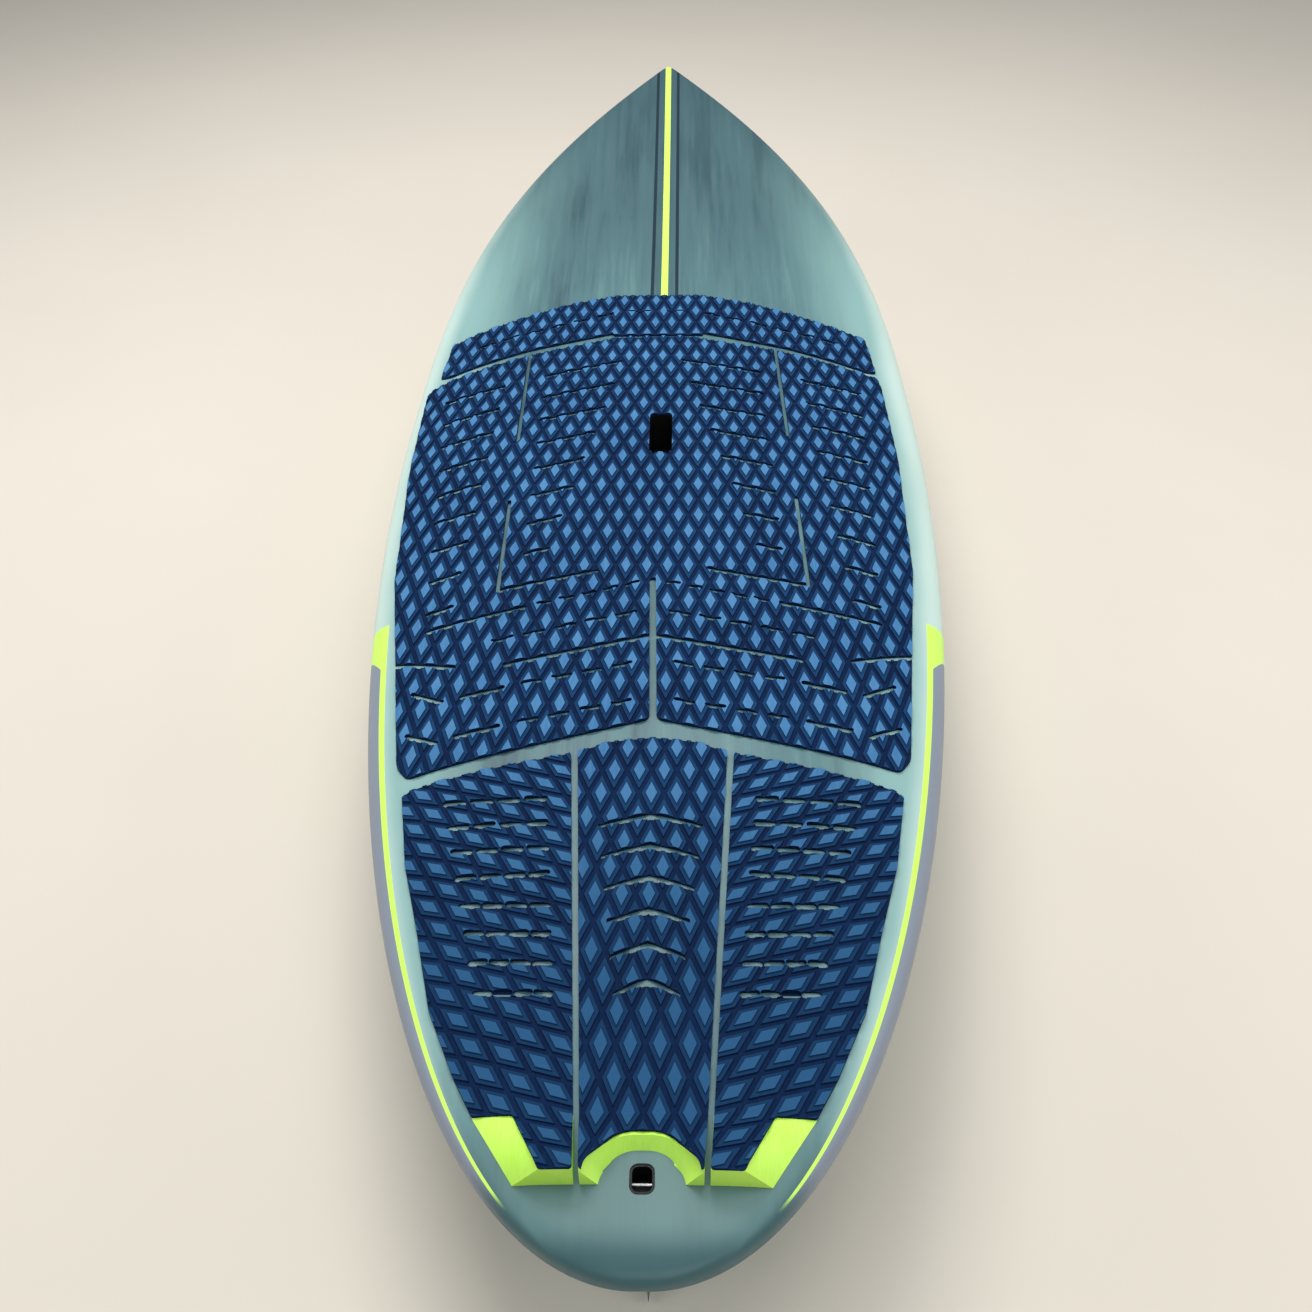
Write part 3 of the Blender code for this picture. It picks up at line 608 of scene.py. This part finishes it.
def box_cutter(node):
    """Block a hair larger than a fin box, on the box's own slant."""
    mesh = NODES[node].data
    co = np.array([v.co for v in mesh.vertices])
    centre = co.mean(0)
    slope = (rocker(centre[1] + 0.001) - rocker(centre[1] - 0.001)) / 0.002
    turn = Matrix.Rotation(math.atan(float(slope)), 4, "X")
    if abs(centre[0]) > 0.01:
        turn = turn @ Matrix.Rotation(math.copysign(SIDE_BOX_TOE, centre[0]), 4, "Z")
    back = np.array(turn.to_3x3())
    local = (co - centre) @ back
    low = local.min(0) - HOLE_GAP
    high = local.max(0) + HOLE_GAP
    low[2] -= 0.02
    bm = bmesh.new()
    bmesh.ops.create_cube(bm, size=1.0)
    bmesh.ops.scale(bm, vec=high - low, verts=bm.verts)
    bmesh.ops.translate(bm, vec=(high + low) / 2, verts=bm.verts)
    bmesh.ops.transform(bm, matrix=Matrix.Translation(centre) @ turn, verts=bm.verts)
    mesh = bpy.data.meshes.new("cutter")
    bm.to_mesh(mesh)
    bm.free()
    cutter = bpy.data.objects.new("cutter", mesh)
    bpy.context.scene.collection.objects.link(cutter)
    return cutter


# ---------------------------------------------------------------- diamond-cut foam
def lattice_slab(a, b, low, high, step=0.83, plateau=0.46):
    """Flat slab of diamonds on a two-way lattice: grooves, a dark step and a raised plateau.

    a and b are the groove directions, each one cell long.
    """
    a = np.array(a)
    b = np.array(b)
    inverse = np.linalg.inv(np.stack([a, b], 1))
    corners = [(low[0], low[1]), (high[0], low[1]), (low[0], high[1]), (high[0], high[1])]
    uv = np.array([inverse @ np.array(c) for c in corners])
    first = np.floor(uv.min(0)).astype(int) - 1
    last = np.ceil(uv.max(0)).astype(int) + 1
    verts = []
    faces = []
    index = {}

    def grid(i, j, z):
        key = (i, j, z)
        if key not in index:
            index[key] = len(verts)
            p = i * a + j * b
            verts.append((p[0], p[1], z))
        return index[key]

    def inner(centre, ring, scale, z):
        made = []
        for p in ring:
            q = centre + (p - centre) * scale
            made.append(len(verts))
            verts.append((q[0], q[1], z))
        return made

    used = set()
    for i in range(first[0], last[0]):
        for j in range(first[1], last[1]):
            centre = (i + 0.5) * a + (j + 0.5) * b
            reach = max(np.abs(a).sum(), np.abs(b).sum())
            if np.any(centre < np.array(low) - reach) or np.any(centre > np.array(high) + reach):
                continue
            used.add((i, j))
            cells = ((i, j), (i + 1, j), (i + 1, j + 1), (i, j + 1))
            ring = [p * a + q * b for p, q in cells]
            top = [grid(p, q, GROOVE_TOP) for p, q in cells]
            under = [grid(p, q, 0.0) for p, q in cells]
            faces.append(under[::-1])
            levels = [top]
            for scale, z in ((step, GROOVE_TOP), (step - 0.05, STEP_TOP), (plateau + 0.05, STEP_TOP),
                             (plateau, PLATEAU_TOP)):
                levels.append(inner(centre, ring, scale, z))
            for lower, upper in zip(levels, levels[1:]):
                for k in range(4):
                    m = (k + 1) % 4
                    faces.append([lower[k], lower[m], upper[m], upper[k]])
            faces.append(levels[-1])
    sides = (((0, 0), (1, 0), (0, -1)), ((1, 0), (1, 1), (1, 0)),
             ((1, 1), (0, 1), (0, 1)), ((0, 1), (0, 0), (-1, 0)))
    for i, j in used:
        for p, q, neighbour in sides:
            if (i + neighbour[0], j + neighbour[1]) in used:
                continue
            s = (i + p[0], j + p[1])
            t = (i + q[0], j + q[1])
            faces.append([grid(*s, 0.0), grid(*t, 0.0), grid(*t, GROOVE_TOP), grid(*s, GROOVE_TOP)])
    obj = object_from("slab", verts, faces, [], smooth=False)
    close_normals(obj)
    return obj


def foam_pad(name, outline, cells, node, slits, overlapping=(), bend=()):
    """Traction pad: diamond slab cut to its outline and slits, then laid on the deck.

    The slits are cut all at once, so none may overlap. Those that may are cut one by one.
    """
    xs = [p[0] for p in outline]
    ys = [p[1] for p in outline]
    obj = lattice_slab(cells[0], cells[1], (min(xs), min(ys)), (max(xs), max(ys)))
    boolean(obj, prisms([outline], -0.01, 0.02), "INTERSECT")
    for group in [slits] + [[cut] for cut in overlapping]:
        boolean(obj, prisms(group, -0.01, 0.02))
    obj.name = name
    lay_on_deck(obj, bend)
    colour_levels(obj)
    finish_piece(obj, node)


def lay_on_deck(obj, bend):
    """Cut the flat slab where the deck bends, mark its levels, then lift it onto the deck."""
    bm = bmesh.new()
    bm.from_mesh(obj.data)
    for y in bend:
        bmesh.ops.bisect_plane(bm, geom=bm.verts[:] + bm.edges[:] + bm.faces[:], plane_co=(0, y, 0),
                               plane_no=(0, 1, 0), dist=1e-6)
    level = bm.faces.layers.int.new("level")
    for face in bm.faces:
        heights = [v.co.z for v in face.verts]
        lowest, highest = min(heights), max(heights)
        # Level 1 is the light-blue plateau top. Level 2 (groove floors, walls up to the step, underside and
        # outer sides) takes navy darkened as painted shade. The rest stays navy.
        if lowest > PLATEAU_TOP - 0.0002:
            face[level] = 1
        elif lowest < STEP_TOP - 0.0002 and highest < PLATEAU_TOP + 0.0002:
            face[level] = 2
    co = np.array([v.co for v in bm.verts])
    z = deck_at(co[:, 0], co[:, 1]) + kick_rise(co[:, 1]) + PAD_UNDER + co[:, 2]
    for v, height in zip(bm.verts, z):
        v.co.z = height
    bm.to_mesh(obj.data)
    bm.free()


def colour_levels(obj):
    mesh = obj.data
    mesh.materials.clear()
    # The third material is the navy darkened as painted shade, for the level 2 faces.
    for mat in (FOAM_NAVY, FOAM_LIGHT, FOAM_GROOVE_SHADE):
        mesh.materials.append(mat)
    level = np.zeros(len(mesh.polygons), np.int32)
    mesh.attributes["level"].data.foreach_get("value", level)
    mesh.polygons.foreach_set("material_index", level)
    mesh.attributes.remove(mesh.attributes["level"])
    mesh.update()


def askew(point):
    """Main pad frame to board frame."""
    c, s = math.cos(MAIN_TURN), math.sin(MAIN_TURN)
    x, dy = point[0], point[1] - MAIN_PIVOT
    return (x * c - dy * s, MAIN_PIVOT + x * s + dy * c)


def shifted(point):
    return (point[0] + FRONT_SHIFT, point[1])


def mirror_half(half):
    return half + [(-x, y) for x, y in reversed(half)]


def both(cuts, place):
    """Slits given for the right side, made on both sides and put in place."""
    made = []
    for a, b, width in cuts:
        for side in (1, -1):
            made.append(capsule(place((side * a[0], a[1])), place((side * b[0], b[1])), width))
    return made


def dashes(a, b, count, fill, width):
    """A broken slit from a to b."""
    a = Vector(a)
    b = Vector(b)
    made = []
    for k in range(count):
        s = (k + 0.5 - fill / 2) / count
        e = (k + 0.5 + fill / 2) / count
        made.append((tuple(a.lerp(b, s)), tuple(a.lerp(b, e)), width))
    return made


def diamond_cells():
    half_x, half_y = CELL[0] / 2, CELL[1] / 2
    return (half_x, half_y), (-half_x, half_y)


def front_pad():
    half = [(0.070, 0.375), (0.150, 0.348), (0.240, 0.301), (0.330, 0.250), (0.337, 0.150),
            (0.320, 0.147), (0.205, 0.203), (0.0715, 0.252), (0.0715, 0.246)]
    outline = rounded([shifted(p) for p in mirror_half(half)], 0.006)
    cuts = dashes((0.068, 0.318), (0.290, 0.222), 6, 0.62, SLIT * 0.8)
    slits = both(cuts, shifted)
    for left in (-0.048, 0.014):
        slits.append(capsule(shifted((left, 0.321)), shifted((left + 0.034, 0.321)), 0.004))
    foam_pad("front_traction_pad", outline, diamond_cells(), "front_pad", slits)


def main_pad():
    half = [(0.055, 0.240), (0.200, 0.190), (0.344, 0.125), (0.3465, 0.100), (0.344, -0.100),
            (0.3335, -0.250), (0.3275, -0.350), (0.304, -0.500), (0.2765, -0.680),
            (0.262, -0.700), (0.004, -0.626), (0.004, -0.380)]
    outline = rounded([askew(p) for p in mirror_half(half)], 0.008)
    cuts = []
    for k in range(8):
        y = 0.125 - 0.0643 * k
        inner_x = 0.0475 + 0.0123 * k
        cuts.append(((0.162, y), (inner_x, y + 0.35 * (0.162 - inner_x)), SLIT))
    for k in range(9):
        y = 0.070 - 0.063 * k
        outer_x = 0.309 - 0.0045 * k
        inner_x = 0.2255 + 0.0024 * k
        cuts.append(((outer_x, y), (inner_x, y + 0.36 * (outer_x - inner_x)), SLIT))
    cuts.append(((0.270, -0.466), (0.155, -0.431), SLIT))
    cuts += dashes((0.145, -0.428), (0.012, -0.386), 5, 0.55, SLIT * 0.75)
    cuts += dashes((0.195, -0.494), (0.014, -0.442), 5, 0.60, SLIT * 0.8)
    cuts.append(((0.215, -0.584), (0.170, -0.573), SLIT))
    cuts += dashes((0.155, -0.568), (0.018, -0.534), 4, 0.55, SLIT * 0.8)
    cuts.append(((0.215, -0.645), (0.170, -0.634), SLIT))
    cuts += dashes((0.155, -0.629), (0.018, -0.596), 4, 0.55, SLIT * 0.8)
    cuts.append(((0.272, -0.573), (0.237, -0.590), 0.006))
    cuts.append(((0.270, -0.638), (0.236, -0.653), 0.006))
    cuts.append(((0.192, 0.210), (0.192, -0.055), 0.0052))
    cuts.append(((0.3300, -0.510), (0.2300, -0.534), 0.0065))
    past_centre = [((0.170, -0.5335), (-0.002, -0.4875), 0.0072)]
    long_cuts = [hole_round("handle_cup", HANDLE_WALL, HANDLE_CORNER - 0.0020)]
    for side in (1, -1):
        corner = askew((side * 0.191, -0.398))
        long_cuts.append(capsule(askew((side * 0.191, -0.210)), corner, 0.0052))
        long_cuts.append(capsule(corner, askew((side * 0.070, -0.363)), SLIT))
    foam_pad("main_traction_pad", outline, diamond_cells(), "main_pad", both(cuts, askew),
             long_cuts + both(past_centre, askew))


SIDE_A = (0.0150, -0.0265)
SIDE_B = (0.0315, -0.0085)


def side_slits(side):
    """Eight rows of short dashes across a side tail pad."""
    made = []
    for k in range(8):
        y = -0.742 - 0.0322 * k
        outer = 0.218 - 0.0085 * k
        inner = 0.105 - 0.003 * k
        for a, b, width in dashes((outer, y - 0.004), (inner, y - 0.006 * (k > 3)), 4, 0.66, SLIT):
            made.append(capsule((side * a[0], a[1]), (side * b[0], b[1]), width))
    return made


def tail_side_pad(name, side, node):
    half = [(0.087, -0.678), (0.170, -0.698), (0.255, -0.722), (0.2625, -0.730), (0.245, -0.820),
            (0.221, -0.900), (0.1975, -0.985), (0.1675, -1.050), (0.146, KICK_FRONT),
            (0.111, KICK_FRONT), (0.083, KICK_BACK), (0.0555, KICK_BACK)]
    outline = rounded([(side * x, y) for x, y in half], 0.003)
    cells = ((-side * SIDE_A[0], SIDE_A[1]), (-side * SIDE_B[0], SIDE_B[1]))
    foam_pad(name, outline, cells, node, side_slits(side), bend=(KICK_FRONT, KICK_CREST))


NOTCH_TOP = [(0.0490, -1.2000), (0.0485, -1.1475), (0.0455, -1.1370), (0.0225, -1.1120), (0.0120, -1.1070)]
NOTCH_LOW = [(0.0370, -1.2000), (0.0362, -1.1475), (0.0340, -1.1400), (0.0225, -1.1245), (0.0100, -1.1195)]


def notch(half):
    """Outline of the bay round the leash plug, open to the rear."""
    return rounded(mirror_half(half), 0.006)


def sloped_cutter(low, high, z_low, z_high):
    """Prism whose outline opens from low to high, going on past both at the same slope."""
    n = len(low)
    verts = []
    for t in (-0.6, 1.6):
        z = z_low + (z_high - z_low) * t
        verts += [(a[0] + (b[0] - a[0]) * t, a[1] + (b[1] - a[1]) * t, z) for a, b in zip(low, high)]
    faces = [list(range(n))[::-1], list(range(n, 2 * n))]
    faces += [[i, (i + 1) % n, n + (i + 1) % n, n + i] for i in range(n)]
    cutter = object_from("cutter", verts, faces, [], smooth=False)
    close_normals(cutter)
    return cutter


def tail_centre_pad():
    half = [(0.0, -0.655), (0.045, -0.661), (0.080, -0.676), (0.0505, KICK_BACK)]
    outline = rounded(half + [(-x, y) for x, y in reversed(half[1:])], 0.003)
    slits = []
    for k in range(6):
        y = -0.766 - 0.0390 * k
        reach = 0.053 - 0.0045 * k
        arc = [Vector((x * reach, y - 0.013 * abs(x) ** 1.25)) for x in np.linspace(-1, 1, 9)]
        upper = [(p.x, p.y + 0.0042 * (1 - 0.5 * abs(p.x / reach))) for p in arc]
        lower = [(p.x, p.y - 0.0042 * (1 - 0.5 * abs(p.x / reach))) for p in arc]
        slits.append(upper + lower[::-1])
    cells = ((CELL[0] / 2, 0.032), (-CELL[0] / 2, 0.032))
    foam_pad("tail_centre_pad", outline, cells, "tail_pad_centre", slits, [notch(NOTCH_TOP)],
             (KICK_FRONT, KICK_CREST))


# ---------------------------------------------------------------- lime kick wedges
def wedge(name, columns, node):
    """Loft across the board: each column is (front point, back point, height share)."""
    steps = 14
    verts = []
    faces = []
    for (fx, fy), (bx, by), lift in columns:
        for k in range(steps + 1):
            t = k / steps
            x = fx + (bx - fx) * t
            y = fy + (by - fy) * t
            base = float(deck_at(x, y)) + PAD_UNDER
            top = base + max(float(kick_rise(y)) * lift, 0.0004)
            verts.append((x, y, base))
            verts.append((x, y, top))
    row = 2 * (steps + 1)
    count = len(columns)
    for c in range(count - 1):
        for k in range(steps):
            o = c * row + 2 * k
            p = o + row
            faces.append([o + 1, o + 3, p + 3, p + 1])
            faces.append([o, p, p + 2, o + 2])
        for o in (c * row, c * row + 2 * steps):
            faces.append([o, o + 1, o + 1 + row, o + row])
    for o in (0, (count - 1) * row):
        for k in range(steps):
            q = o + 2 * k
            faces.append([q, q + 2, q + 3, q + 1])
    obj = object_from(name, verts, faces, [FOAM_LIME], smooth=False)
    close_normals(obj)
    obj.data.shade_smooth()
    obj.data.set_sharp_from_angle(angle=math.radians(20))
    finish_piece(obj, node)
    return obj


def kick_side(name, side, node):
    """Full height from the seam to the ridge, then falling to nothing at the outer edge."""
    seam_front, seam_back = 0.0592, 0.0555
    ridge_front, ridge_back = 0.111, 0.083
    edge_front, edge_back = 0.146, 0.106
    columns = []
    for t in (0.0, 0.5, 1.0):
        front = (side * (seam_front + (ridge_front - seam_front) * t), KICK_FRONT - KICK_GAP)
        back = (side * (seam_back + (ridge_back - seam_back) * t), KICK_BACK)
        columns.append((front, back, 1.0))
    for t in (0.25, 0.5, 0.75, 1.0):
        front = (side * (ridge_front + (edge_front - ridge_front) * t), KICK_FRONT - KICK_GAP)
        back = (side * (ridge_back + (edge_back - ridge_back) * t), KICK_BACK)
        columns.append((front, back, 1.0 - t))
    wedge(name, columns, node)


def kick_centre():
    front = KICK_FRONT - KICK_GAP
    columns = [((x * 0.0535, front), (x * 0.0505, KICK_BACK), 1.0) for x in np.linspace(-1, 1, 9)]
    obj = wedge("kick_centre_lime", columns, "kick_centre")
    deck = float(deck_at(0.0, KICK_CREST))
    boolean(obj, sloped_cutter(notch(NOTCH_LOW), notch(NOTCH_TOP), deck, deck + 0.018))
    obj.data.set_sharp_from_angle(angle=math.radians(30))
    return obj


# ---------------------------------------------------------------- carried-over pieces
def dress(node, mat, bevel=0.0):
    """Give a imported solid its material, and soften its edges if a bevel is asked for."""
    obj = NODES[node]
    obj.data.materials.clear()
    obj.data.materials.append(mat)
    if bevel:
        mod = obj.modifiers.new("edge", "BEVEL")
        mod.width = bevel
        mod.segments = 2
        mod.limit_method = "ANGLE"
        mod.angle_limit = math.radians(40)


def dress_carried():
    black = plastic_material("moulded_black", srgb(16, 16, 17), 0.48)
    vent = plastic_material("vent_black", srgb(30, 31, 33), 0.42)
    rubber = plastic_material("ring_rubber", srgb(14, 14, 14), 0.75)
    glossy = plastic_material("plug_black", srgb(6, 6, 7), 0.5)
    boxes = plastic_material("box_grey", srgb(52, 54, 58), 0.55)
    steel = metal_material("stainless_satin", srgb(205, 206, 208), 0.24)
    brass = metal_material("brass_pin", srgb(196, 160, 84), 0.30)
    foam = foam_material()
    wood = wood_material()
    laminate = fin_material()
    dress("handle_cup", black)
    dress("leash_cup", glossy)
    dress("leash_bar", steel)
    dress("vent_body", vent)
    dress("vent_plug", vent, 0.0003)
    dress("vent_o_ring", rubber)
    for node in ("core_left", "core_right", "infill_nose", "infill_mid", "handle_bed", "plug_bed"):
        dress(node, foam)
    for node in ("stringer_left", "stringer_right"):
        dress(node, wood)
    for node in ("fin_box_centre", "fin_box_left", "fin_box_right"):
        dress(node, boxes)
    for node in ("fin_centre", "fin_left", "fin_right"):
        dress(node, laminate)
    dress("fin_pin", brass)
    for node in ("fin_plate", "fin_screw", "fin_screw_left", "fin_screw_right"):
        dress(node, steel)


# ---------------------------------------------------------------- stage
def floor():
    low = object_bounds()[0]
    z = low[2] - 0.0005
    size = 14.0
    verts = [(-size, -size, z), (size, -size, z), (size, size, z), (-size, size, z)]
    obj = object_from("floor", verts, [(0, 1, 2, 3)], [floor_material()], smooth=False)
    obj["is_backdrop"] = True


def area_light(name, place, aim, size, power, colour=(1, 1, 1)):
    data = bpy.data.lights.new(name, "AREA")
    data.shape = "RECTANGLE"
    data.size, data.size_y = size
    data.energy = power
    data.color = colour
    obj = bpy.data.objects.new(name, data)
    obj.location = place
    obj.rotation_euler = (Vector(aim) - Vector(place)).to_track_quat("-Z", "Y").to_euler()
    bpy.context.scene.collection.objects.link(obj)


def lights():
    area_light("key", (-0.6, 1.5, 3.4), (0, -0.1, 0.1), (2.2, 1.2), 85, (1.0, 0.985, 0.96))
    area_light("ceiling", (0.3, -0.1, 3.6), (0, 0, 0.1), (2.6, 2.6), 66)
    area_light("fill_left", (-3.2, -0.8, 1.6), (0, -0.2, 0.1), (1.6, 1.6), 26, (0.97, 0.985, 1.0))
    area_light("fill_right", (3.2, -0.8, 1.6), (0, -0.2, 0.1), (1.6, 1.6), 26, (0.97, 0.985, 1.0))
    area_light("fill_back", (0.6, -3.4, 1.8), (0, -0.8, 0.1), (2.0, 1.2), 20)
    world = bpy.data.worlds.new("studio")
    world.use_nodes = True
    background = world.node_tree.nodes["Background"]
    background.inputs["Color"].default_value = (0.80, 0.86, 0.95, 1)
    background.inputs["Strength"].default_value = 0.30
    bpy.context.scene.world = world


CAMERA_PLACE = (0.0378, -1.6661, 1.1102)
CAMERA_YAW = math.radians(1.834)
CAMERA_PITCH = math.radians(41.104)
CAMERA_ROLL = math.radians(-1.306)
SENSOR = 36.0
LENS_SHARE = 1.001524        # focal length over the picture's width


def camera():
    """Phone-height view from behind the tail, looking forward and down along the board."""
    data = bpy.data.cameras.new("camera")
    data.sensor_width = SENSOR
    data.lens = SENSOR * LENS_SHARE
    data.clip_end = 60
    obj = bpy.data.objects.new("camera", data)
    level = Vector((-math.sin(CAMERA_YAW), math.cos(CAMERA_YAW), 0))
    ahead = level * math.cos(CAMERA_PITCH) - Vector((0, 0, math.sin(CAMERA_PITCH)))
    right = Vector((math.cos(CAMERA_YAW), math.sin(CAMERA_YAW), 0))
    up = right.cross(ahead)
    turned_right = right * math.cos(CAMERA_ROLL) + up * math.sin(CAMERA_ROLL)
    turned_up = up * math.cos(CAMERA_ROLL) - right * math.sin(CAMERA_ROLL)
    matrix = Matrix((turned_right, turned_up, -ahead)).transposed().to_4x4()
    matrix.translation = CAMERA_PLACE
    obj.matrix_world = matrix
    bpy.context.scene.collection.objects.link(obj)
    bpy.context.scene.camera = obj


# ---------------------------------------------------------------- build
FOAM_NAVY = eva_material("eva_navy", EVA_NAVY, srgb(16, 50, 88), srgb(30, 74, 116), EVA_NAVY_AFT_SHADE)
FOAM_LIGHT = eva_material("eva_light_blue", EVA_LIGHT, srgb(62, 112, 158), srgb(94, 144, 188), EVA_LIGHT_AFT_SHADE)
# Navy darkened as painted shade in the grooves and on the step walls.
FOAM_GROOVE_SHADE = eva_material("eva_navy_painted_groove_shade", EVA_GROOVE_SHADE, srgb(4, 26, 58), srgb(12, 44, 84))
FOAM_LIME = eva_material("eva_lime_foam", LIME, srgb(190, 244, 90), srgb(216, 255, 132))

camera()
lacquer = paint_material()
finish_piece(deck_shell(lacquer), "deck_skin")
finish_piece(bottom_shell(lacquer), "bottom_skin")
front_pad()
main_pad()
tail_centre_pad()
for side, word in ((1, "right"), (-1, "left")):
    tail_side_pad("tail_" + word + "_pad", side, "tail_pad_" + word)
    kick_side("kick_" + word + "_lime", side, "kick_" + word)
kick_centre()
dress_carried()
floor()
lights()
# Standard keeps the paint and foam colours as set above; the default transform washes them out.
bpy.context.scene.view_settings.view_transform = "Standard"
